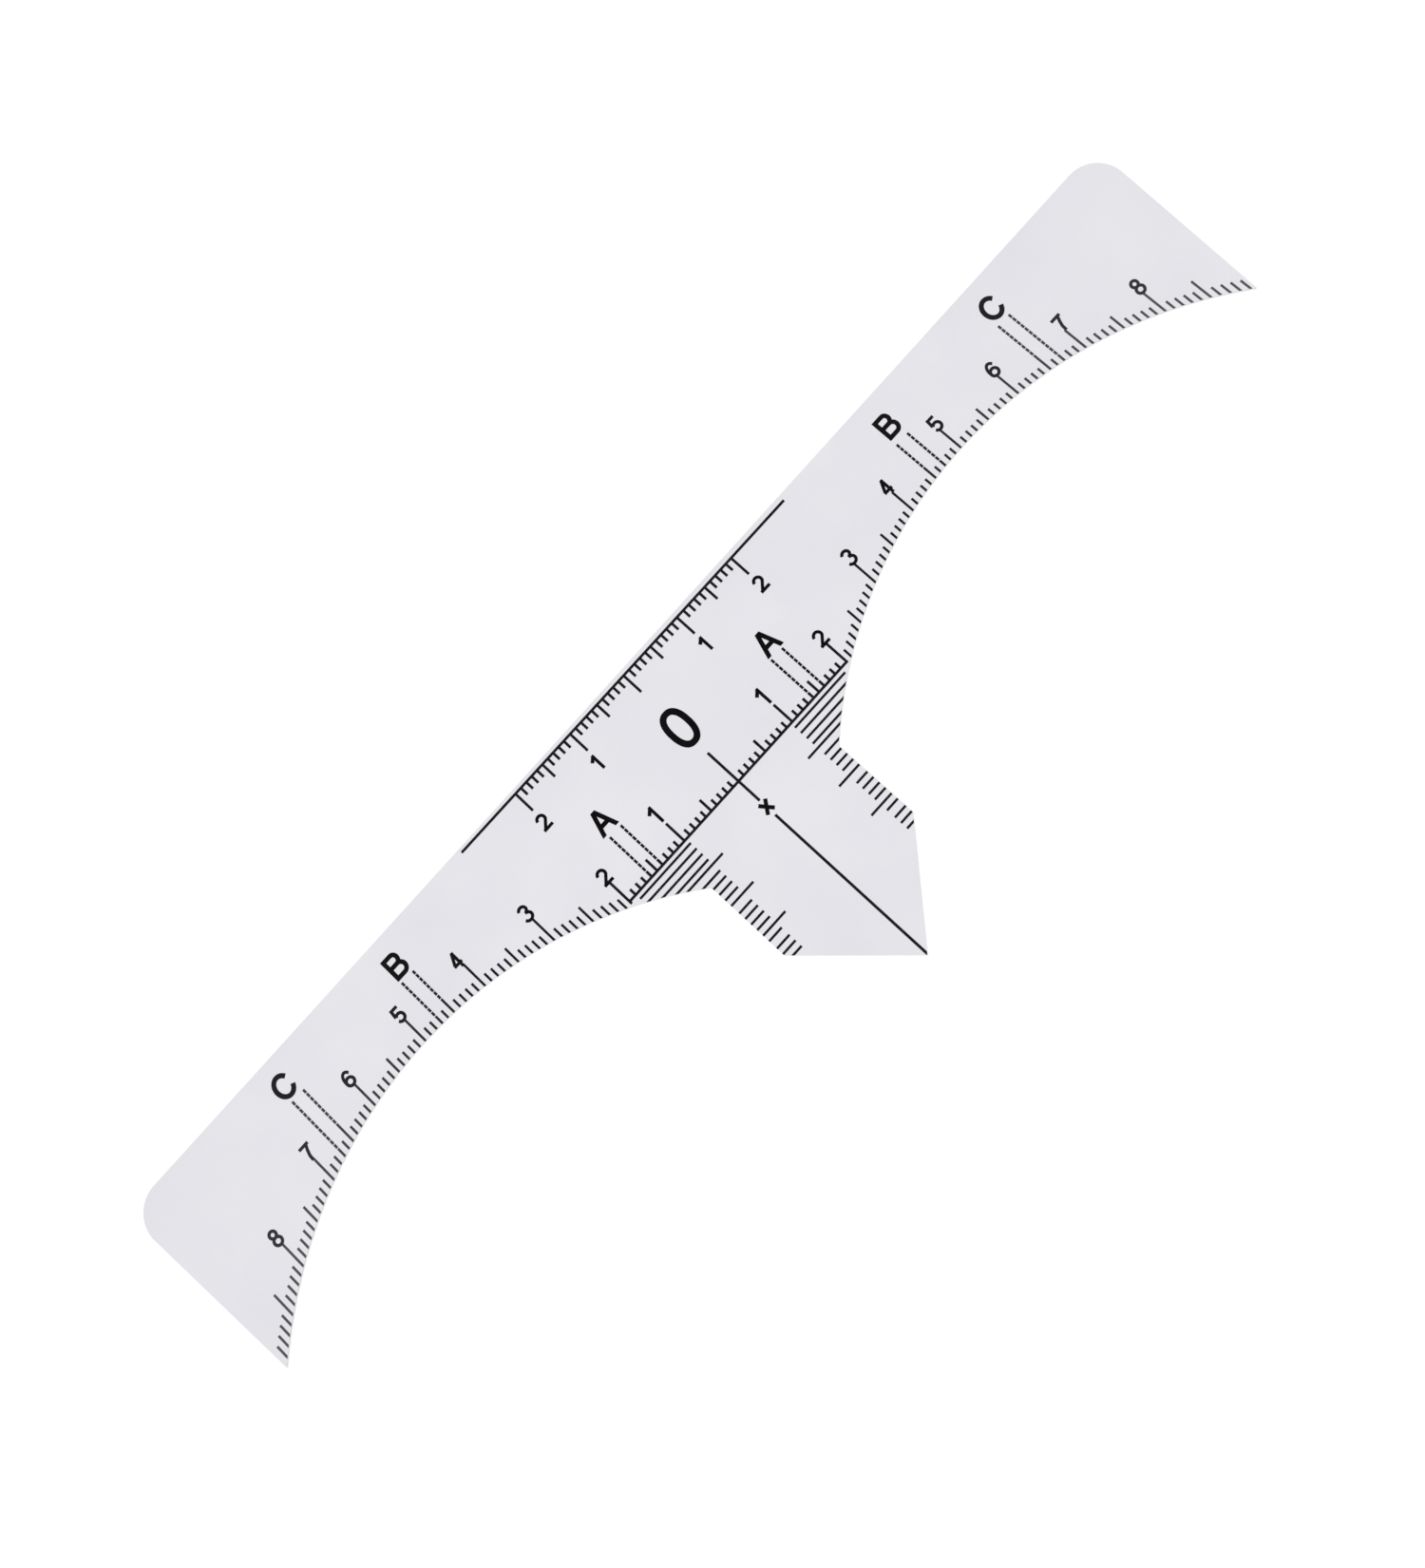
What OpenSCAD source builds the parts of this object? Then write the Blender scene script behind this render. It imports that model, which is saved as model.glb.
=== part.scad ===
// Stick-on brow-mapping ruler: a die-cut frosted film with a printed millimetre scale,
// its adhesive coat and the release liner that it is peeled from.
// Millimetres. +X runs along the ruler, +Y towards its top edge, +Z out of the printed face.
// The origin is on the sheet's line of symmetry, at the height of the base line,
// on the underside of the liner.

/* [Sheet] */
// Length of the sheet along its top edge
sheet_length = 182.2; // [180:0.2:190]
// Height of the top edge above the base line
top_height = 20.7; // [20.2:0.1:23]
// Depth of the nose tip below the base line
tip_depth = 31.4; // [30:0.1:36]
// Radius of the two top corners
corner_r = 4.6; // [2:0.1:8]
// How far each end leans in, from the top edge to the base line
end_lean = 1; // [0:0.1:1.5]

/* [Eye arches] */
// Distance from the centre line to the middle of an arch
arch_x = 50.4; // [50:0.1:51]
// Radius of an arch
arch_r = 61.2; // [59:0.1:62]
// Height of an arch's crown above the base line
arch_crown = 7.35; // [6.5:0.05:7.5]

/* [Nose tab] */
// Width of the tab
tab_width = 23.6; // [22:0.1:25]
// Depth below the base line where the tab starts to taper
taper_start = 18.6; // [17:0.1:21]

/* [Layers] */
// Thickness of the release liner
liner_t = 0.1; // [0.08:0.01:0.2]
// Thickness of the adhesive coat
adhesive_t = 0.03; // [0.02:0.01:0.05]
// Thickness of the face film
film_t = 0.15; // [0.1:0.01:0.25]
// Thickness of the printed ink
ink_t = 0.02; // [0.01:0.01:0.03]

/* [Print] */
// How far the print sits to the right on the sheet
print_shift = 0.2; // [-0.3:0.05:0.3]
// How far the print is turned on the sheet, in degrees anticlockwise
print_turn = -0.14; // [-0.3:0.02:0.3]

/* [Ticks] */
// Width of a tick on the arches and the nose tab
tick_w = 0.32; // [0.2:0.01:0.4]
// Width of the base line, the top rule's line and their ticks
line_w = 0.36; // [0.2:0.01:0.5]
// Width of the centre line
centre_line_w = 0.37; // [0.2:0.01:0.5]
// Length of a one-millimetre tick
short_tick = 1; // [0.6:0.05:1.2]
// Length of a five-millimetre tick
middle_tick = 2.05; // [1.5:0.05:2.3]
// Length of a centimetre tick on the top rule
long_tick = 2.9; // [2.4:0.1:3]
// Height of the top rule above the base line
rule_y = 19.95; // [19:0.05:20]
// Length of the top rule's line
rule_length = 60.4; // [44:0.1:80]

/* [Numerals] */
// Height of a numeral
numeral_h = 2.3; // [2:0.05:2.4]
// Stroke of a numeral
numeral_w = 0.42; // [0.25:0.01:0.45]
// Height of the large zero
zero_h = 5.85; // [5:0.05:6]
// Width of the large zero
zero_width = 3.7; // [3:0.05:4]
// Stroke of the large zero
zero_w = 0.86; // [0.5:0.01:1]
// Height of the middle of the large zero above the base line
zero_y = 10.05; // [9.5:0.05:10.5]

/* [Zones] */
// Height of a zone letter
letter_h = 3.35; // [2.8:0.05:3.4]
// Stroke of a zone letter
letter_w = 0.6; // [0.35:0.01:0.65]
// Width of a guide line
guide_w = 0.34; // [0.2:0.01:0.4]
// Distance from one dash of a guide line to the next
dash_pitch = 0.67; // [0.6:0.01:0.8]
// Gap between two dashes of a guide line
dash_gap = 0.11; // [0.05:0.01:0.3]

/* [Hidden] */
// Sides of an arch's full circle
arch_sides = 360;
// Just past an edge, for cuts
overcut = 1;

// Heights of the layers
adhesive_z = liner_t;
film_z = adhesive_z + adhesive_t;
ink_z = film_z + film_t;

// The sheet's outline
half_length = sheet_length / 2;
half_tab = tab_width / 2;
arch_y = arch_crown - arch_r;
lean = end_lean / top_height;
// Half the sheet's length at a height
function end_x(y) = half_length - lean * (top_height - y);
// Height of an arch's edge at a distance from the centre line
function arch_edge(x) = arch_y + sqrt(pow(arch_r, 2) - pow(x - arch_x, 2));
// Height of the sheet's lowest outer corners, just under the arch's end
corner_y = arch_edge(end_x(0)) - overcut;
lean_angle = atan(lean);
corner_x = end_x(top_height - corner_r) - corner_r / cos(lean_angle);

// Print: last tick of the base line and of the top rule, from the middle
top_end = 20;

// Print: first and last arc tick, and the two that stand out most
arc_first = 21;
arc_last = 89;
long_arc_ticks = [65, 85];
// How far the arc ticks stand out over the arch's crown
arc_short = 1.17;
arc_middle = 2.24;
arc_long = 2.9;
// Radius of the curve that the arc ticks' upper ends follow, flatter than the arch
arc_top_r = arch_r * 1.035;

// Print: height of the arc numerals over the arch, those that sit lower, and those that are taller
numeral_rise = 3.63;
low_numerals = [5, 6, 7];
low_drop = 0.12;
tall_numerals = [3, 8];
tall_h = numeral_h * 1.06;
// How far a centimetre tick runs into its arc numeral
numeral_bite = 0.15;
// How far the arc numerals stand out from their ticks, left and right
arc_numeral_out = [0.1, 0.2];

// Print: feet of the base line's numerals, and the gap under its 1
base_two_y = 3.35;
base_one_y = 3.6;
base_one_h = numeral_h * 1.14;
base_one_gap = 0.4;
// How far the base line's last ticks stand out, and how far the left one runs past the line
base_end_gap = 0.12;
base_left_tail = 0.4;

// Print: turn of the top rule in degrees anticlockwise, and the place of its numerals
rule_turn = -0.13;
top_numeral_y = 13.75;
top_numeral_out = 0.1;
// How much longer the top rule's ticks are, and how far those of its second centimetre stand out
top_extra = 0.23;
top_group_gap = 0.2;

// Print: half the width of a numeral's bowl, height of its waist as a share, and squareness of the zero
numeral_half = 0.56;
waist = 0.525;
zero_power = 2.35;

// Print: top of the centre line, and where it breaks off above and below the cross
centre_top = 5.3;
cross_gap = [-3.6, -6.2];
// Place, size and stroke of the cross
cross_y = -4.75;
cross_width = 1.25;
cross_height = 1.65;
cross_w = 0.52;

// Print: number of nose ticks, and depth of the first
nose_ticks = 19;
nose_first = 0.75;
// The two ticks after which the step is wider, and by how much
nose_group = 10;
nose_group_gap = 0.35;
nose_tail = 16;
nose_tail_gap = 0.3;
// The tick that sits high, and by how much
nose_high = 5;
nose_high_lift = 0.18;
// Inner ends of short and long nose ticks, and where both would end without the sheet's edge
nose_inner = 9.65;
nose_long_inner = 7.9;
nose_outer = 19;

// Print: each zone's letter and middle, then its letter's foot and its guides' top, left and right
zone_a = ["A", 15.25, [7.75, 7.55], [7.3, 7.25]];
zone_b = ["B", 46.05, [14.83, 14.75], [14.45, 13.9]];
zone_c = ["C", 66.35, [15.05, 15.05], [14.6, 14.5]];
zones = [zone_a, zone_b, zone_c];
guide_half_gap = 1;

film_colour = [0.87, 0.87, 0.9];
ink_colour = [0.06, 0.06, 0.07];
liner_colour = [0.95, 0.94, 0.9];
adhesive_colour = [0.92, 0.92, 0.88];

// Outline of the sheet

module upper_bar() {
    right_corner = arc([corner_x, top_height - corner_r], corner_r, corner_r, 90, -lean_angle);
    left_corner = arc([-corner_x, top_height - corner_r], corner_r, corner_r, 180 + lean_angle, 90);
    difference() {
        polygon(concat(
            right_corner,
            [[end_x(corner_y), corner_y], [-end_x(corner_y), corner_y]],
            left_corner
        ));
        for (side = [-1, 1])
            translate([side * arch_x, arch_y])
                circle(arch_r, $fn = arch_sides);
    }
}

module nose_tab() {
    polygon([
        [-half_tab, 0], [half_tab, 0], [half_tab, -taper_start],
        [0, -tip_depth], [-half_tab, -taper_start]
    ]);
}

module sheet_outline() {
    upper_bar();
    nose_tab();
}

module layer(z, thickness, tint) {
    color(tint)
        translate([0, 0, z])
            linear_extrude(thickness)
                children();
}

// Print in its place on the sheet, cut off where the sheet ends
module ink() {
    layer(ink_z, ink_t, ink_colour)
        intersection() {
            sheet_outline();
            translate([print_shift, 0])
                rotate(print_turn)
                    children();
        }
}

// Strokes

function unit(v) = v / norm(v);
function turn_left(v) = [-v[1], v[0]];
// Points along an elliptical arc, from one angle to another
function arc(centre, rx, ry, from, to, steps = 14) = [
    for (i = [0:steps])
        let (a = from + (to - from) * i / steps)
            centre + [rx * cos(a), ry * sin(a)]
];
// The sideways step from a path's point to the edge of its stroke, mitred at corners
function edge_step(path, i) =
    let (
        last = len(path) - 1,
        before = turn_left(unit(path[max(i, 1)] - path[max(i, 1) - 1])),
        after = turn_left(unit(path[min(i, last - 1) + 1] - path[min(i, last - 1)]))
    )
    (before + after) / (1 + before * after);

// A line of even width along a path
module stroke(path, width) {
    last = len(path) - 1;
    polygon(concat(
        [for (i = [0:last]) path[i] + edge_step(path, i) * width / 2],
        [for (i = [last:-1:0]) path[i] - edge_step(path, i) * width / 2]
    ));
}

// An ellipse, or a squarer oval where power is over 2
module oval(rx, ry, power = 2, steps = 48) {
    function swell(v) = sign(v) * pow(abs(v), 2 / power);
    polygon([
        for (i = [0:steps - 1])
            [rx * swell(cos(360 * i / steps)), ry * swell(sin(360 * i / steps))]
    ]);
}

module ring(centre, rx, ry, width, power = 2) {
    translate(centre)
        difference() {
            oval(rx + width / 2, ry + width / 2, power);
            oval(rx - width / 2, ry - width / 2, power);
        }
}

// Numerals: each stands on y = 0, with the middle of its stem or bowl at x = 0

module numeral(digit, h = numeral_h) {
    w = numeral_w;
    rx = numeral_half;
    foot = w / 2;
    head = h - w / 2;
    middle = h * waist;
    upper_ry = (head - middle) / 2;
    lower_ry = (middle - foot) / 2;
    upper_y = (head + middle) / 2;
    lower_y = (foot + middle) / 2;
    if (digit == 1) {
        flag_root = [0.05, h - 0.2];
        flag_end = [-0.28 * h, 0.67 * h];
        stroke([[0, 0], [0, h]], w);
        stroke([flag_root, flag_end], w * 1.15);
    }
    if (digit == 2) {
        hook_start = 172;
        neck_angle = -28;
        neck_foot = [0.02 - rx, foot];
        stroke(concat(arc([0, head - rx], rx, rx, hook_start, neck_angle), [neck_foot]), w);
        stroke([[-rx - w / 2, foot], [rx + w / 2, foot]], w);
    }
    if (digit == 3) {
        bowl_x = -0.03;
        hook_angle = 165;
        upper_share = 0.95;
        lower_share = 1.08;
        stroke(arc([bowl_x, upper_y], rx * upper_share, upper_ry, hook_angle, -90), w);
        stroke(arc([bowl_x, lower_y], rx * lower_share, lower_ry, 90, -hook_angle), w);
    }
    if (digit == 4) {
        bar_y = 0.65;
        bar_left = -0.97;
        bar_right = 0.36;
        slope_top = [0, h - 0.1];
        slope_foot = [-0.82, 0.72];
        stroke([[0, 0], [0, h]], w);
        stroke([slope_top, slope_foot], w);
        stroke([[bar_left, bar_y], [bar_right, bar_y]], w);
    }
    if (digit == 5) {
        bowl_extra = 0.06;
        bowl_start = 148;
        bowl_end = -160;
        roof_start = [0.1 - rx, head];
        stem_top = [0.17 - rx, h];
        stem_foot = [0.04 - rx, middle - 0.12];
        stroke([roof_start, [rx, head]], w);
        stroke([stem_top, stem_foot], w);
        stroke(arc([0, lower_y + bowl_extra], rx, lower_ry + bowl_extra, bowl_start, bowl_end), w);
    }
    if (digit == 6) {
        bowl_extra = 0.04;
        bowl_y = lower_y + bowl_extra;
        bowl_ry = lower_ry + bowl_extra;
        bowl_start = 110;
        tail_x = 0.08;
        tail_rx = rx + tail_x;
        tail_y = h * 0.445;
        tail_tip = 38;
        tail_root = 150;
        difference() {
            polygon(concat(
                arc([0, bowl_y], rx + w / 2, bowl_ry + w / 2, bowl_start, -180, 30),
                arc([tail_x, tail_y], tail_rx + w / 2, h - tail_y, 180, tail_tip),
                arc([tail_x, tail_y], tail_rx - w / 2, h - w - tail_y, tail_tip, tail_root)
            ));
            translate([0, bowl_y])
                oval(rx - w / 2, bowl_ry - w / 2);
        }
    }
    if (digit == 7) {
        knee_high = [0.3, 1.42];
        knee_low = [0.05, 0.72];
        stroke([[-rx, head], [rx + w, head]], w);
        stroke([[rx + 0.06, head], knee_high, knee_low, [0, 0]], w);
    }
    if (digit == 8) {
        upper_share = 0.84;
        ring([0, upper_y], rx * upper_share, upper_ry, w);
        ring([0, lower_y], rx, lower_ry, w);
    }
}

// Zone letters: each stands on y = 0, centred on x = 0

module letter(name) {
    w = letter_w;
    h = letter_h;
    foot = w / 2;
    head = h - w / 2;
    if (name == "A") {
        half = h * 0.44;
        apex = w * 0.62;
        bar = h * 0.27;
        lean_in = (half - apex) / h;
        leg = w * 1.07;
        difference() {
            polygon([[-half, 0], [-apex, h], [apex, h], [half, 0]]);
            polygon([
                [leg - half, -overcut], [leg - half, 0], [leg - half + lean_in * bar, bar],
                [half - leg - lean_in * bar, bar], [half - leg, 0], [half - leg, -overcut]
            ]);
            polygon([
                [leg - half + lean_in * (bar + w), bar + w], [0, (half - leg) / lean_in],
                [half - leg - lean_in * (bar + w), bar + w]
            ]);
        }
    }
    if (name == "B") {
        spine = -h * 0.26;
        middle = h * waist;
        upper_rx = 0.56;
        upper_ry = (head - middle) / 2;
        upper_bowl = arc([0.35, head - upper_ry], upper_rx, upper_ry, 90, -90);
        lower_rx = 0.69;
        lower_ry = (middle - foot) / 2;
        lower_bowl = arc([0.37, foot + lower_ry], lower_rx, lower_ry, 90, -90);
        stroke([[spine, 0], [spine, h]], w);
        stroke(concat([[spine, head]], upper_bowl, [[spine, middle]]), w);
        stroke(concat([[spine, middle]], lower_bowl, [[spine, foot]]), w);
    }
    if (name == "C") {
        bold = w * 1.08;
        rx = h * 0.35;
        ry = (h - bold) / 2 + 0.06;
        upper_tip = 32;
        lower_tip = 336;
        stroke(arc([-0.06, h / 2], rx, ry, upper_tip, lower_tip, 30), bold);
    }
}

// Ticks

module tick(x, low, high, width = tick_w) {
    translate([x - width / 2, low])
        square([width, high - low]);
}

function tick_length(k, short, middle, long) = k % 10 == 0 ? long : k % 5 == 0 ? middle : short;

// Place of a tick on the top rule: the second centimetre stands a little further out
function top_x(k) = k + (abs(k) > 10 ? sign(k) * top_group_gap : 0);

module top_scale() {
    translate([-rule_length / 2, rule_y - line_w / 2])
        square([rule_length, line_w]);
    for (k = [-top_end:top_end])
        tick(
            top_x(k), rule_y - top_extra - tick_length(k, short_tick, middle_tick, long_tick),
            rule_y, line_w
        );
}

// Place of a tick on the base line: the last ones stand a little further out
function base_x(k) = k + (abs(k) == top_end ? sign(k) * base_end_gap : 0);
// Lower end of a tick on the base line: the last one on the left runs past the line
function base_tick_foot(k) = k == -top_end ? -base_left_tail : 0;
// Length of a centimetre tick on the base line, up to its numeral
function base_long_tick(k) = abs(k) == top_end ? base_two_y : base_one_y - base_one_gap;

module base_line_scale() {
    base_half = base_x(top_end) + line_w / 2;
    difference() {
        union() {
            translate([-base_half, -line_w / 2])
                square([2 * base_half, line_w]);
            for (k = [-top_end:top_end])
                if (k != 0)
                    tick(
                        base_x(k), base_tick_foot(k),
                        tick_length(k, short_tick, middle_tick, base_long_tick(k)), line_w
                    );
        }
        centre_strokes();
    }
}

module centre_strokes() {
    tick(0, cross_gap[0], centre_top, centre_line_w);
    tick(0, -tip_depth - overcut, cross_gap[1], centre_line_w);
}

// Height of an arc numeral's foot: the middle ones sit a little lower
function arc_numeral_y(digit) =
    arch_edge(digit * 10) + numeral_rise - (len(search(digit, low_numerals)) > 0 ? low_drop : 0);
// How far an arc tick stands out over the crown of the arch
function arc_tick_rise(k) =
    len(search(k, long_arc_ticks)) > 0 ? arc_long
    : k % 5 == 0 ? arc_middle
    : arc_short;
// Height of an arc tick's upper end, on a flatter curve than the arch, or at its numeral
function arc_tick_top(k) =
    k % 10 == 0 ? arc_numeral_y(k / 10) + numeral_bite
    : arch_crown + arc_tick_rise(k) - arc_top_r + sqrt(pow(arc_top_r, 2) - pow(k - arch_x, 2));

module arc_scale(side) {
    difference() {
        for (k = [arc_first:arc_last])
            tick(side * k, arch_edge(k) - overcut, arc_tick_top(k));
        arc_digits(side);
    }
}

module arc_digits(side) {
    for (digit = [3:8])
        translate([side * (digit * 10 + arc_numeral_out[column(side)]), arc_numeral_y(digit)])
            numeral(digit, len(search(digit, tall_numerals)) > 0 ? tall_h : numeral_h);
}

// Depth of a nose tick: a millimetre apart, with a wider step after two of them and one a little high
function nose_depth(k) =
    nose_first + (k - 1)
    + (k > nose_group ? nose_group_gap : 0)
    + (k > nose_tail ? nose_tail_gap : 0)
    - (k == nose_high ? nose_high_lift : 0);

module nose_scale(side) {
    for (k = [1:nose_ticks]) {
        inner = k % 5 == 0 ? nose_long_inner : nose_inner;
        stroke([[side * inner, -nose_depth(k)], [side * nose_outer, -nose_depth(k)]], tick_w);
    }
}

// Which of a left and right pair of values a side takes
function column(side) = side < 0 ? 0 : 1;

// A dashed line of whole dashes that fills a height
module dashes(x, low, high) {
    count = round((high - low) / dash_pitch);
    pitch = (high - low) / count;
    for (i = [1:count])
        tick(x, low + (i - 1) * pitch + dash_gap, low + i * pitch, guide_w);
}

module zone_lines(side) {
    for (zone = zones)
        for (step = [-guide_half_gap, guide_half_gap]) {
            k = round(zone[1]) + step;
            tick_top = k < top_end ? short_tick : arc_tick_top(k);
            dashes(side * k, tick_top, zone[3][column(side)]);
        }
}

module zone_marks(side) {
    for (zone = zones)
        translate([side * zone[1], zone[2][column(side)]])
            letter(zone[0]);
}

// Sub-parts

module release_liner() { layer(0, liner_t, liner_colour) sheet_outline(); }
module adhesive_coat() { layer(adhesive_z, adhesive_t, adhesive_colour) sheet_outline(); }
module face_film() { layer(film_z, film_t, film_colour) sheet_outline(); }
module top_rule() { ink() rotate(rule_turn) top_scale(); }
module top_numerals() {
    ink()
        for (digit = [1, 2])
            for (side = [-1, 1])
                translate([side * (top_x(digit * 10) + top_numeral_out), top_numeral_y])
                    numeral(digit);
}
module zero_numeral() {
    ink()
        ring([0, zero_y], (zero_width - zero_w) / 2, (zero_h - zero_w) / 2, zero_w, zero_power);
}
module base_scale() { ink() base_line_scale(); }
module base_numerals() {
    ink()
        for (side = [-1, 1]) {
            translate([side * 10, base_one_y])
                numeral(1, base_one_h);
            translate([base_x(side * top_end), base_two_y])
                numeral(2);
        }
}
module centre_line() { ink() centre_strokes(); }
module centre_cross() {
    ink()
        for (side = [-1, 1])
            stroke([
                [-side * cross_width / 2, cross_y - cross_height / 2],
                [side * cross_width / 2, cross_y + cross_height / 2]
            ], cross_w);
}
module left_arc_ticks() { ink() arc_scale(-1); }
module right_arc_ticks() { ink() arc_scale(1); }
module left_arc_numerals() { ink() arc_digits(-1); }
module right_arc_numerals() { ink() arc_digits(1); }
module left_zone_letters() { ink() zone_marks(-1); }
module right_zone_letters() { ink() zone_marks(1); }
module left_zone_guides() { ink() zone_lines(-1); }
module right_zone_guides() { ink() zone_lines(1); }
module left_nose_ticks() { ink() nose_scale(-1); }
module right_nose_ticks() { ink() nose_scale(1); }

release_liner();
adhesive_coat();
face_film();
top_rule();
top_numerals();
zero_numeral();
base_scale();
base_numerals();
centre_line();
centre_cross();
left_arc_ticks();
right_arc_ticks();
left_arc_numerals();
right_arc_numerals();
left_zone_letters();
right_zone_letters();
left_zone_guides();
right_zone_guides();
left_nose_ticks();
right_nose_ticks();
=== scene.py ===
"""Looks of a stick-on brow-mapping ruler: frosted film, black print, adhesive coat and glazed liner."""
import math

import bmesh
import bpy
from mathutils import Matrix, Vector


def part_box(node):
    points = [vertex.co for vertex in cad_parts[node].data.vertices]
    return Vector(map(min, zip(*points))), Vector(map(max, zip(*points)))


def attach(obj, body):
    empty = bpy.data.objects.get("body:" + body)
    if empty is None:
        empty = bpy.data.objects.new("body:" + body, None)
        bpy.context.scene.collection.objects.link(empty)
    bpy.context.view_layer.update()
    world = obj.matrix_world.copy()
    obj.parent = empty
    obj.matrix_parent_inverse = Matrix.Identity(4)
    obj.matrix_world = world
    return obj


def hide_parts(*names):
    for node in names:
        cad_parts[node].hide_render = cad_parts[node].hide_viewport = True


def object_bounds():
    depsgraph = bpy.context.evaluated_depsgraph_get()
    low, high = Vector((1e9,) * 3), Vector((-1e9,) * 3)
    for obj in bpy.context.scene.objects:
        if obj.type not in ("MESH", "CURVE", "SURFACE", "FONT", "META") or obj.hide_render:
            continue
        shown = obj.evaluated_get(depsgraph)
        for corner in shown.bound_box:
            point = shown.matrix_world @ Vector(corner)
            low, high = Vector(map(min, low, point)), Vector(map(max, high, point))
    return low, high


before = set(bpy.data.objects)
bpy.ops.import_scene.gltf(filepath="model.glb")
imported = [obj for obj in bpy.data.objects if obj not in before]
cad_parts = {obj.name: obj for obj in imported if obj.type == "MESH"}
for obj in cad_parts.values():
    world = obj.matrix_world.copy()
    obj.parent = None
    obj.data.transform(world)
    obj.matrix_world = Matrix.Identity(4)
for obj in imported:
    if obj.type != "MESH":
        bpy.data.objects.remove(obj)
CAD_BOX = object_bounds()
MM = 0.001

# Outline of the die-cut sheet
FILM_LOW, FILM_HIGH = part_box("face_film")
TOP_EDGE = FILM_HIGH.y
NOSE_TIP = FILM_LOW.y
HALF_LENGTH = 91.1 * MM
END_LEAN = 1 * MM
END_SLOPE = END_LEAN / TOP_EDGE
CORNER_RADIUS = 4.6 * MM
CORNER_STEPS = 24
ARCH_X = 50.4 * MM
ARCH_RADIUS = 61.2 * MM
ARCH_CROWN = 7.35 * MM
ARCH_Y = ARCH_CROWN - ARCH_RADIUS
ARCH_STEPS = 96
TAB_HALF = 11.8 * MM
TAPER_START = -18.6 * MM
WELD_DISTANCE = 0.0001 * MM

# Cut edges of the layers
FILM_SHOULDER = 0.025 * MM
LINER_SHOULDER = 0.012 * MM
ADHESIVE_SETBACK = 0.06 * MM
SHOULDER_STEPS = 2
FLAT_NORMAL = 0.999

# Frosted film: soft clouds under a fine frost
CLOUD_SIZE = 16 * MM
CLOUD_TONES = (0.716, 0.708, 0.752), (0.758, 0.75, 0.79)
FROST_SIZE = 0.22 * MM
FROST_TONES = (0.985, 0.985, 0.985), (1, 1, 1)
FROST_ROUGHNESS = 0.42, 0.6
FROST_DEPTH = 0.006 * MM
FILM_GLOSS = 0.3

# Cut edge: streaks down the film's edge, in tones lighter than the face as a painted highlight of light
# through the edge
STREAK_SIZE = 0.05 * MM
STREAK_STRETCH = (1, 1, 0.1)
STREAK_AND_GLOW_TONES = (0.78, 0.775, 0.82), (0.87, 0.865, 0.9)
STREAK_ROUGHNESS = 0.3, 0.5
STREAK_DEPTH = 0.003 * MM
CUT_GLOSS = 0.4

# Tacky adhesive: broad flow marks and small dimples
FLOW_SIZE = 2.5 * MM
FLOW_TONES = (0.77, 0.765, 0.76), (0.83, 0.825, 0.815)
DIMPLE_SIZE = 0.4 * MM
DIMPLE_ROUGHNESS = 0.12, 0.25
DIMPLE_DEPTH = 0.01 * MM

# Glazed liner: paper fibres along the sheet, flecks of tone and a thin glaze
FIBRE_SIZE = 0.5 * MM
FIBRE_STRETCH = (0.35, 1.6, 1)
FIBRE_TONES = (0.84, 0.825, 0.79), (0.9, 0.89, 0.86)
FIBRE_ROUGHNESS = 0.3, 0.45
FIBRE_DEPTH = 0.008 * MM
FLECK_SIZE = 6 * MM
FLECK_TONES = (0.97, 0.97, 0.97), (1, 1, 1)
GLAZE_WEIGHT = 0.2
GLAZE_ROUGHNESS = 0.25

# Print: each ink has its full tone, its thin tone and its tone at the sheet's ends
BOLD_TONES = (0.0015, 0.0008, 0.0013), (0.005, 0.0035, 0.0045), (0.02, 0.018, 0.02)
NUMERAL_TONES = (0.003, 0.0022, 0.003), (0.008, 0.0065, 0.008), (0.035, 0.032, 0.035)
FINE_TONES = (0.005, 0.0045, 0.0055), (0.012, 0.011, 0.013), (0.085, 0.08, 0.085)
INK_FADE_START = 40 * MM
INK_FADE_END = 80 * MM
INK_PATCH_SIZE = 1.2 * MM
INK_GRAIN_SIZE = 0.09 * MM
INK_ROUGHNESS = 0.6, 0.8
INK_DEPTH = 0.002 * MM
INK_GLOSS = 0.04
BOLD_PRINT = [
    "zero_numeral", "top_numerals", "base_numerals",
    "left_zone_letters", "right_zone_letters", "centre_cross",
]
ARC_NUMERALS = ["left_arc_numerals", "right_arc_numerals"]
FINE_PRINT = [
    "top_rule", "base_scale", "centre_line", "left_arc_ticks", "right_arc_ticks",
    "left_zone_guides", "right_zone_guides", "left_nose_ticks", "right_nose_ticks",
]

# Patterns: the part of its range that noise mostly keeps to, and how strongly a relief shows
NOISE_LOW = 0.3
NOISE_HIGH = 0.7
CLEAR_RELIEF = 0.5
FAINT_RELIEF = 0.4

# The Mix node's colour sockets, by number, because its other sockets have the same names
MIX_FIRST = 6
MIX_SECOND = 7
MIX_RESULT = 2

# Camera, as the photograph sees the sheet
CAMERA_PLACE = Vector((4.42, -26.51, 194.04)) * MM
CAMERA_AIM = Vector((10.56, 5.84, 0)) * MM
PICTURE_TURN = math.radians(48.48)
LENS = 36
SENSOR_WIDTH = 36
NEAR_LIMIT = 10 * MM
PICTURE_LONG_SIDE = 1650
PIXELS_RIGHT = -50
PIXELS_UP = -100

# Light and floor
WORLD_LEVEL = 0.7
KEY_LEVEL = 1.1
KEY_SOFTNESS = math.radians(50)
KEY_DIRECTION = Vector((0.1, -0.15, -0.98))
FLOOR_TONE = 0.93
FLOOR_LIFT = 0.08
FLOOR_HALF = 3
FLOOR_GAP = 0.02 * MM


# Materials

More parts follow.
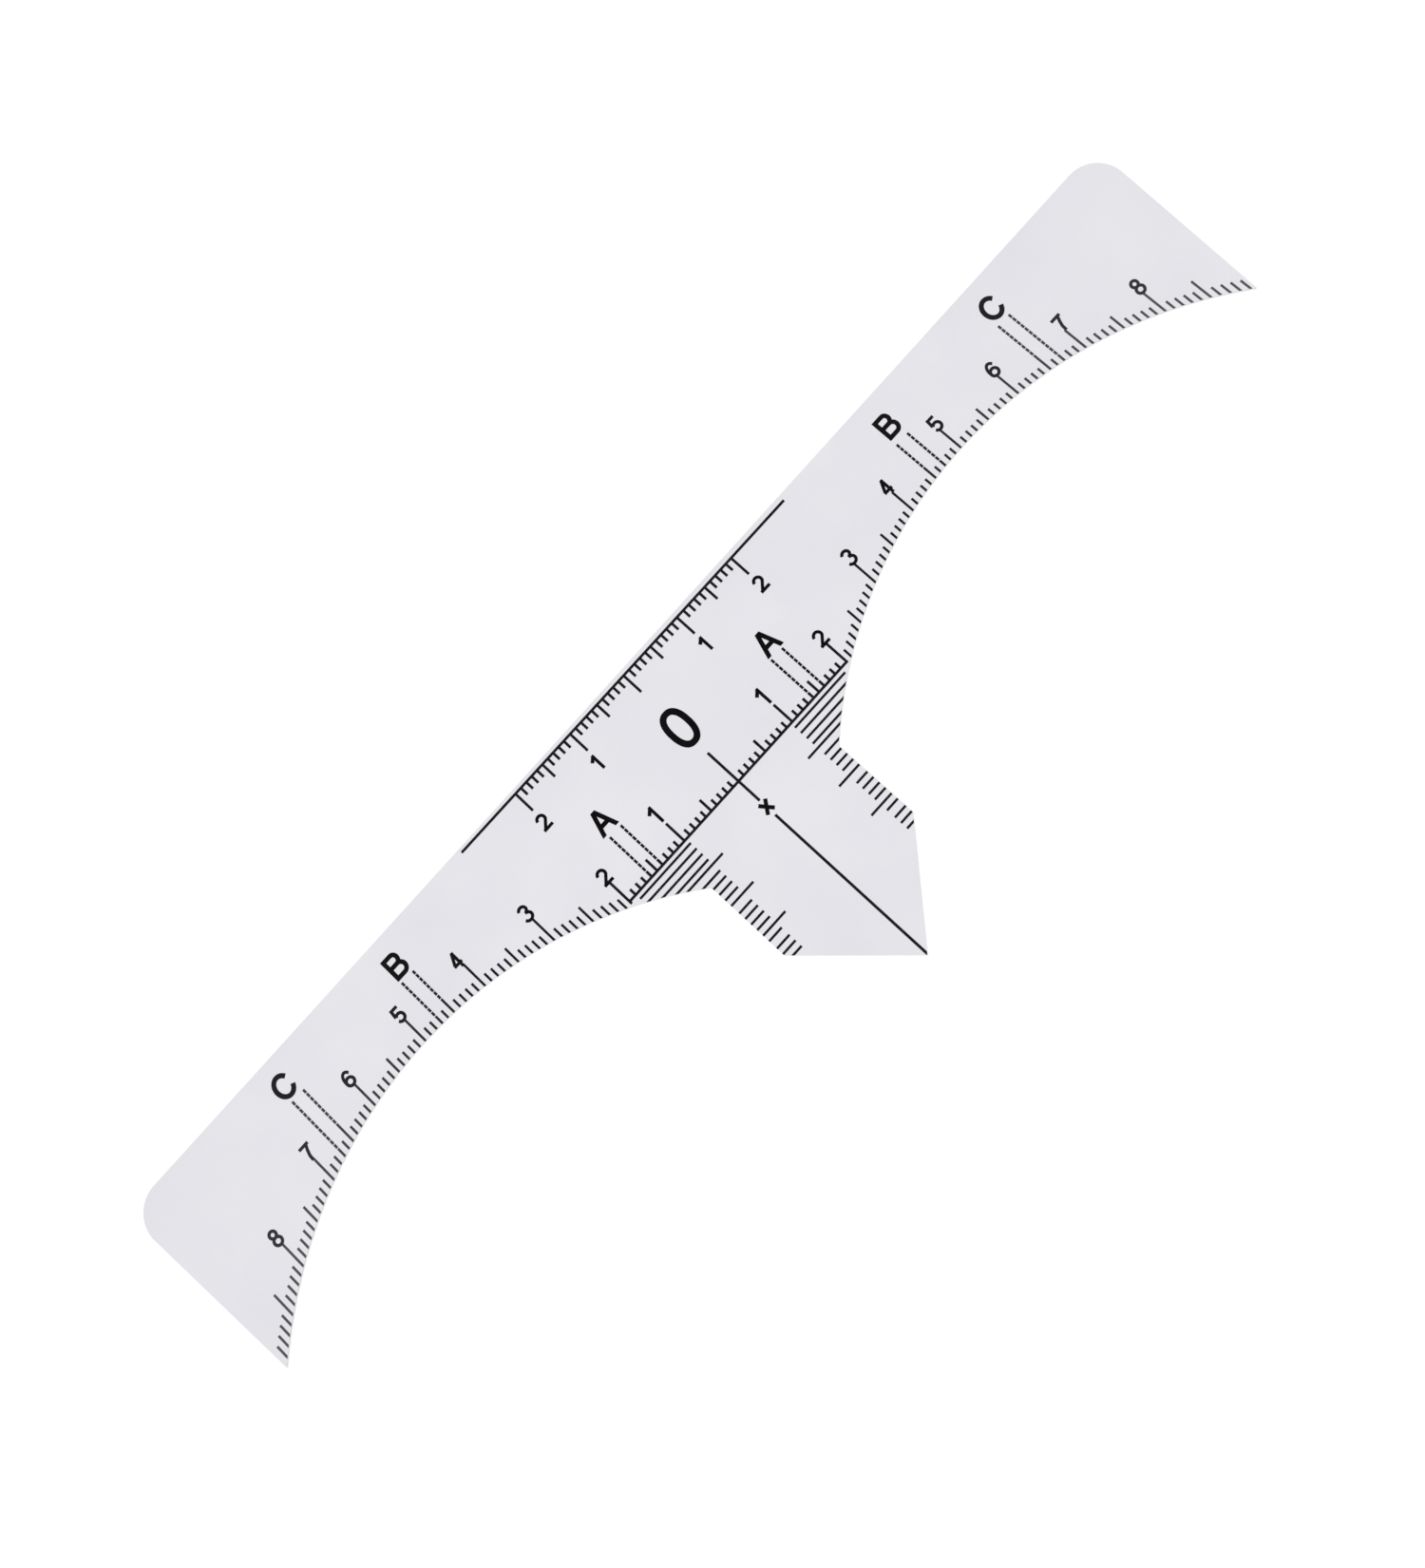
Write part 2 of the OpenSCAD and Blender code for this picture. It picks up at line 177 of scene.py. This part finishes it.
class Finish:
    """A material under construction: its nodes, links and shader."""

    def __init__(self, name):
        self.material = bpy.data.materials.new(name)
        self.material.use_nodes = True
        self.nodes = self.material.node_tree.nodes
        self.links = self.material.node_tree.links
        self.shader = self.nodes["Principled BSDF"]
        self.place = self.nodes.new("ShaderNodeTexCoord").outputs["Object"]

    def stretched(self, scale):
        """The place on the sheet, multiplied by a scale along each axis."""
        mapping = self.nodes.new("ShaderNodeMapping")
        mapping.inputs["Scale"].default_value = scale
        self.links.new(self.place, mapping.inputs["Vector"])
        return mapping.outputs["Vector"]

    def noise(self, size, detail=2.0, roughness=0.5, place=None):
        """Soft noise whose features are about the given size."""
        node = self.nodes.new("ShaderNodeTexNoise")
        node.inputs["Scale"].default_value = 1 / size
        node.inputs["Detail"].default_value = detail
        node.inputs["Roughness"].default_value = roughness
        self.links.new(place or self.place, node.inputs["Vector"])
        return node.outputs["Fac"]

    def from_middle(self):
        """The distance from the sheet's centre line."""
        split = self.nodes.new("ShaderNodeSeparateXYZ")
        self.links.new(self.place, split.inputs["Vector"])
        size = self.nodes.new("ShaderNodeMath")
        size.operation = "ABSOLUTE"
        self.links.new(split.outputs["X"], size.inputs[0])
        return size.outputs["Value"]

    def spread(self, value, low, high, start=NOISE_LOW, end=NOISE_HIGH):
        """A value carried from the range start to end over to the range low to high."""
        node = self.nodes.new("ShaderNodeMapRange")
        node.inputs["From Min"].default_value = start
        node.inputs["From Max"].default_value = end
        node.inputs["To Min"].default_value = low
        node.inputs["To Max"].default_value = high
        self.links.new(value, node.inputs["Value"])
        return node.outputs["Result"]

    def blend(self, factor, first, second, how="MIX"):
        """Two colours mixed by a factor. A colour is a tuple or another node's output."""
        node = self.nodes.new("ShaderNodeMix")
        node.data_type = "RGBA"
        node.blend_type = how
        if isinstance(factor, float):
            node.inputs["Factor"].default_value = factor
        else:
            self.links.new(factor, node.inputs["Factor"])
        for number, colour in ((MIX_FIRST, first), (MIX_SECOND, second)):
            socket = node.inputs[number]
            if isinstance(colour, tuple):
                socket.default_value = (*colour, 1)
            else:
                self.links.new(colour, socket)
        return node.outputs[MIX_RESULT]

    def toned(self, pattern, first, second):
        """A colour that goes from the first tone to the second with a noise pattern."""
        return self.blend(self.spread(pattern, 0, 1), first, second)

    def relief(self, height, depth, strength):
        """Raises the surface by a height, up to a depth in metres."""
        bump = self.nodes.new("ShaderNodeBump")
        bump.inputs["Strength"].default_value = strength
        bump.inputs["Distance"].default_value = depth
        self.links.new(height, bump.inputs["Height"])
        self.links.new(bump.outputs["Normal"], self.shader.inputs["Normal"])

    def set(self, socket, value):
        """Gives the shader a value that is the same all over, or a node's output."""
        target = self.shader.inputs[socket]
        if isinstance(value, (int, float)):
            target.default_value = value
        else:
            self.links.new(value, target)


def frosted_film():
    """Pale film, a little cloudy, with a fine frosted grain."""
    finish = Finish("frosted_film")
    clouds = finish.noise(CLOUD_SIZE, detail=3.0)
    frost = finish.noise(FROST_SIZE, detail=3.0, roughness=0.6)
    cloudy = finish.toned(clouds, *CLOUD_TONES)
    speckled = finish.toned(frost, *FROST_TONES)
    finish.set("Base Color", finish.blend(1.0, cloudy, speckled, "MULTIPLY"))
    finish.set("Roughness", finish.spread(frost, *FROST_ROUGHNESS))
    finish.set("Specular IOR Level", FILM_GLOSS)
    finish.relief(frost, FROST_DEPTH, CLEAR_RELIEF)
    return finish.material


def cut_edge_painted_glow():
    """The film's cut edge, streaked by the die, and lighter than its face as a painted highlight of light
    through the edge.
    """
    finish = Finish("cut_edge_painted_glow")
    streaks = finish.noise(STREAK_SIZE, place=finish.stretched(STREAK_STRETCH))
    # Tones lighter than the film's face: a painted highlight along the cut edge
    finish.set("Base Color", finish.toned(streaks, *STREAK_AND_GLOW_TONES))
    finish.set("Roughness", finish.spread(streaks, *STREAK_ROUGHNESS))
    finish.set("Specular IOR Level", CUT_GLOSS)
    finish.relief(streaks, STREAK_DEPTH, FAINT_RELIEF)
    return finish.material


def print_ink(name, full_tone, thin_tone, end_tone):
    """Black print that is uneven all over and thinner towards the sheet's ends."""
    finish = Finish(name)
    patches = finish.noise(INK_PATCH_SIZE, detail=3.0)
    grain = finish.noise(INK_GRAIN_SIZE)
    inked = finish.toned(patches, full_tone, thin_tone)
    outward = finish.spread(finish.from_middle(), 0, 1, INK_FADE_START, INK_FADE_END)
    finish.set("Base Color", finish.blend(outward, inked, end_tone))
    finish.set("Roughness", finish.spread(grain, *INK_ROUGHNESS))
    finish.set("Specular IOR Level", INK_GLOSS)
    finish.relief(grain, INK_DEPTH, FAINT_RELIEF)
    return finish.material


def tacky_adhesive():
    """Glossy adhesive with flow marks and dimples."""
    finish = Finish("tacky_adhesive")
    flow = finish.noise(FLOW_SIZE)
    dimples = finish.noise(DIMPLE_SIZE, detail=1.0)
    finish.set("Base Color", finish.toned(flow, *FLOW_TONES))
    finish.set("Roughness", finish.spread(dimples, *DIMPLE_ROUGHNESS))
    finish.relief(dimples, DIMPLE_DEPTH, CLEAR_RELIEF)
    return finish.material


def glazed_liner():
    """Warm white paper whose fibres show through a thin glaze."""
    finish = Finish("glazed_liner")
    fibres = finish.noise(FIBRE_SIZE, detail=4.0, roughness=0.65, place=finish.stretched(FIBRE_STRETCH))
    flecks = finish.noise(FLECK_SIZE, detail=3.0)
    paper = finish.toned(fibres, *FIBRE_TONES)
    flecked = finish.toned(flecks, *FLECK_TONES)
    finish.set("Base Color", finish.blend(1.0, paper, flecked, "MULTIPLY"))
    finish.set("Roughness", finish.spread(fibres, *FIBRE_ROUGHNESS))
    finish.set("Coat Weight", GLAZE_WEIGHT)
    finish.set("Coat Roughness", GLAZE_ROUGHNESS)
    finish.relief(fibres, FIBRE_DEPTH, CLEAR_RELIEF)
    return finish.material


# Die-cut layers

def line_to(bm, pen, point):
    """Draws a straight edge from the pen's vertex, and returns its far end."""
    drawn = bmesh.ops.extrude_vert_indiv(bm, verts=[pen])["verts"][0]
    drawn.co = point
    return drawn


def arc_to(bm, pen, centre, angle, steps):
    """Draws an arc from the pen's vertex round a centre, and returns its far end."""
    spun = bmesh.ops.spin(
        bm, geom=[pen], cent=centre, axis=(0, 0, 1), angle=angle, steps=steps, use_duplicate=False
    )
    return spun["geom_last"][0]


def end_x(y):
    """Half the sheet's length at a height, where its ends lean in."""
    return HALF_LENGTH - END_SLOPE * (TOP_EDGE - y)


def outer_corner():
    """Where the sheet's end meets the eye arch."""
    reach = end_x(0) - ARCH_X
    square = 1 + END_SLOPE ** 2
    linear = reach * END_SLOPE - ARCH_Y
    rest = reach ** 2 + ARCH_Y ** 2 - ARCH_RADIUS ** 2
    y = (-linear + math.sqrt(linear ** 2 - square * rest)) / square
    return end_x(y), y


def arch_edge(x):
    """Height of the eye arch's edge at a distance from the centre line."""
    return ARCH_Y + math.sqrt(ARCH_RADIUS ** 2 - (x - ARCH_X) ** 2)


def sheet_face(bm, z):
    """Draws the whole outline at a height and fills it with one face."""
    lean = math.atan(END_SLOPE)
    corner_y = TOP_EDGE - CORNER_RADIUS
    corner_x = end_x(corner_y) - CORNER_RADIUS / math.cos(lean)
    corner_at = outer_corner()
    tab_top = arch_edge(TAB_HALF)
    arch_start = math.atan2(corner_at[1] - ARCH_Y, corner_at[0] - ARCH_X)
    arch_end = math.atan2(tab_top - ARCH_Y, TAB_HALF - ARCH_X)

    pen = bm.verts.new((0, TOP_EDGE, z))
    pen = line_to(bm, pen, (corner_x, TOP_EDGE, z))
    pen = arc_to(bm, pen, (corner_x, corner_y, z), -math.pi / 2 - lean, CORNER_STEPS)
    pen = line_to(bm, pen, (*corner_at, z))
    pen = arc_to(bm, pen, (ARCH_X, ARCH_Y, z), arch_end - arch_start, ARCH_STEPS)
    pen = line_to(bm, pen, (TAB_HALF, TAPER_START, z))
    line_to(bm, pen, (0, NOSE_TIP, z))

    half = bm.verts[:] + bm.edges[:]
    bmesh.ops.mirror(bm, geom=half, matrix=Matrix.Identity(4), merge_dist=WELD_DISTANCE, axis="X")
    bmesh.ops.remove_doubles(bm, verts=bm.verts, dist=WELD_DISTANCE)
    face = bmesh.ops.contextual_create(bm, geom=bm.edges[:])["faces"][0]
    if face.normal.z < 0:
        bmesh.ops.reverse_faces(bm, faces=[face])
    return face


def draw_back(bm, face, setback):
    """Takes a strip of even width off the outline of a face."""
    strip = bmesh.ops.inset_region(bm, faces=[face], thickness=setback, use_even_offset=True)["faces"]
    bmesh.ops.delete(bm, geom=strip, context="FACES")


def die_cut_layer(name, node, shoulder, setback, face_finish, edge_finish):
    """One layer of the sheet, as thick as its node, with its upper edges eased where it has a shoulder."""
    low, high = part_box(node)
    bm = bmesh.new()
    face = sheet_face(bm, low.z)
    if setback:
        draw_back(bm, face, setback)
    grown = bmesh.ops.extrude_face_region(bm, geom=bm.faces[:], use_keep_orig=True)["geom"]
    raised = [part for part in grown if isinstance(part, bmesh.types.BMVert)]
    bmesh.ops.translate(bm, verts=raised, vec=(0, 0, high.z - low.z))
    bmesh.ops.recalc_face_normals(bm, faces=bm.faces)
    if shoulder:
        rim = [edge for edge in bm.edges if all(vert in raised for vert in edge.verts)]
        bmesh.ops.bevel(
            bm, geom=rim, offset=shoulder, offset_type="OFFSET", segments=SHOULDER_STEPS, profile=0.5,
            affect="EDGES", material=-1, clamp_overlap=True,
        )
    # Extruded walls come in any order, so the faces are put in a fixed one
    bm.faces.sort(key=lambda part: sum(part.calc_center_median()))
    for part in bm.faces:
        part.material_index = 0 if abs(part.normal.z) > FLAT_NORMAL else 1
    mesh = bpy.data.meshes.new(name)
    bm.to_mesh(mesh)
    bm.free()
    mesh.materials.append(face_finish)
    mesh.materials.append(edge_finish)
    layer = bpy.data.objects.new(name, mesh)
    bpy.context.scene.collection.objects.link(layer)
    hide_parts(node)
    return layer


film_finish = frosted_film()
# The cut edge's finish carries a painted edge highlight
cut_finish = cut_edge_painted_glow()
adhesive_finish = tacky_adhesive()
liner_finish = glazed_liner()

film_sheet = die_cut_layer("film_sheet", "face_film", FILM_SHOULDER, 0, film_finish, cut_finish)
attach(film_sheet, "sticker")

adhesive_layer = die_cut_layer(
    "adhesive_layer", "adhesive_coat", 0, ADHESIVE_SETBACK, adhesive_finish, adhesive_finish
)
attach(adhesive_layer, "sticker")

liner_sheet = die_cut_layer("liner_sheet", "release_liner", LINER_SHOULDER, 0, liner_finish, liner_finish)
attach(liner_sheet, "liner")

# Inks on the printed nodes

bold_ink = print_ink("bold_ink", *BOLD_TONES)
numeral_ink = print_ink("numeral_ink", *NUMERAL_TONES)
fine_ink = print_ink("fine_ink", *FINE_TONES)
for names, ink in ((BOLD_PRINT, bold_ink), (ARC_NUMERALS, numeral_ink), (FINE_PRINT, fine_ink)):
    for name in names:
        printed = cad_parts[name]
        printed.data.materials.clear()
        printed.data.materials.append(ink)


# Stage

def seen_ray(nodes, links):
    """1 where the camera looks, also by reflection or through glass, and 0 where light only bounces."""
    path = nodes.new("ShaderNodeLightPath")
    total = path.outputs["Is Camera Ray"]
    for ray in ("Is Glossy Ray", "Is Transmission Ray"):
        either = nodes.new("ShaderNodeMath")
        either.operation = "MAXIMUM"
        links.new(total, either.inputs[0])
        links.new(path.outputs[ray], either.inputs[1])
        total = either.outputs["Value"]
    return total


def white_floor():
    """Matt white that takes the object's shadow, lifted a little where it is seen."""
    material = bpy.data.materials.new("white_floor")
    material.use_nodes = True
    nodes = material.node_tree.nodes
    links = material.node_tree.links
    nodes.clear()
    matt = nodes.new("ShaderNodeBsdfDiffuse")
    matt.inputs["Color"].default_value = (FLOOR_TONE, FLOOR_TONE, FLOOR_TONE, 1)
    lift = nodes.new("ShaderNodeMath")
    lift.operation = "MULTIPLY"
    lift.inputs[1].default_value = FLOOR_LIFT
    links.new(seen_ray(nodes, links), lift.inputs[0])
    glow = nodes.new("ShaderNodeEmission")
    links.new(lift.outputs["Value"], glow.inputs["Strength"])
    both = nodes.new("ShaderNodeAddShader")
    links.new(matt.outputs["BSDF"], both.inputs[0])
    links.new(glow.outputs["Emission"], both.inputs[1])
    out = nodes.new("ShaderNodeOutputMaterial")
    links.new(both.outputs["Shader"], out.inputs["Surface"])
    return material


floor_mesh = bpy.data.meshes.new("floor")
floor_bm = bmesh.new()
bmesh.ops.create_grid(floor_bm, x_segments=1, y_segments=1, size=FLOOR_HALF)
bmesh.ops.translate(floor_bm, verts=floor_bm.verts, vec=(0, 0, CAD_BOX[0].z - FLOOR_GAP))
floor_bm.to_mesh(floor_mesh)
floor_bm.free()
floor_mesh.materials.append(white_floor())
floor = bpy.data.objects.new("floor", floor_mesh)
bpy.context.scene.collection.objects.link(floor)

world = bpy.data.worlds.new("studio")
bpy.context.scene.world = world
world.use_nodes = True
world_nodes = world.node_tree.nodes
world_links = world.node_tree.links
soft_light = world_nodes["Background"]
level = world_nodes.new("ShaderNodeMapRange")
level.inputs["To Min"].default_value = WORLD_LEVEL
level.inputs["To Max"].default_value = 1
world_links.new(seen_ray(world_nodes, world_links), level.inputs["Value"])
soft_light.inputs["Color"].default_value = (1, 1, 1, 1)
world_links.new(level.outputs["Result"], soft_light.inputs["Strength"])

key_lamp = bpy.data.lights.new("key", "SUN")
key_lamp.energy = KEY_LEVEL
key_lamp.angle = KEY_SOFTNESS
key = bpy.data.objects.new("key", key_lamp)
key.rotation_mode = "QUATERNION"
key.rotation_quaternion = KEY_DIRECTION.to_track_quat("-Z", "Y")
bpy.context.scene.collection.objects.link(key)

# Camera

camera_data = bpy.data.cameras.new("camera")
camera_data.sensor_width = SENSOR_WIDTH
camera_data.lens = LENS
camera_data.shift_x = PIXELS_RIGHT / PICTURE_LONG_SIDE
camera_data.shift_y = PIXELS_UP / PICTURE_LONG_SIDE
camera_data.clip_start = NEAR_LIMIT
camera = bpy.data.objects.new("camera", camera_data)
looking = (CAMERA_AIM - CAMERA_PLACE).normalized()
across = Vector((math.cos(PICTURE_TURN), -math.sin(PICTURE_TURN), 0))
across = (across - looking * across.dot(looking)).normalized()
upward = across.cross(looking)
turn = Matrix((across, upward, -looking)).transposed().to_4x4()
camera.matrix_world = Matrix.Translation(CAMERA_PLACE) @ turn
bpy.context.scene.collection.objects.link(camera)
bpy.context.scene.camera = camera

bpy.context.scene.view_settings.view_transform = "Standard"
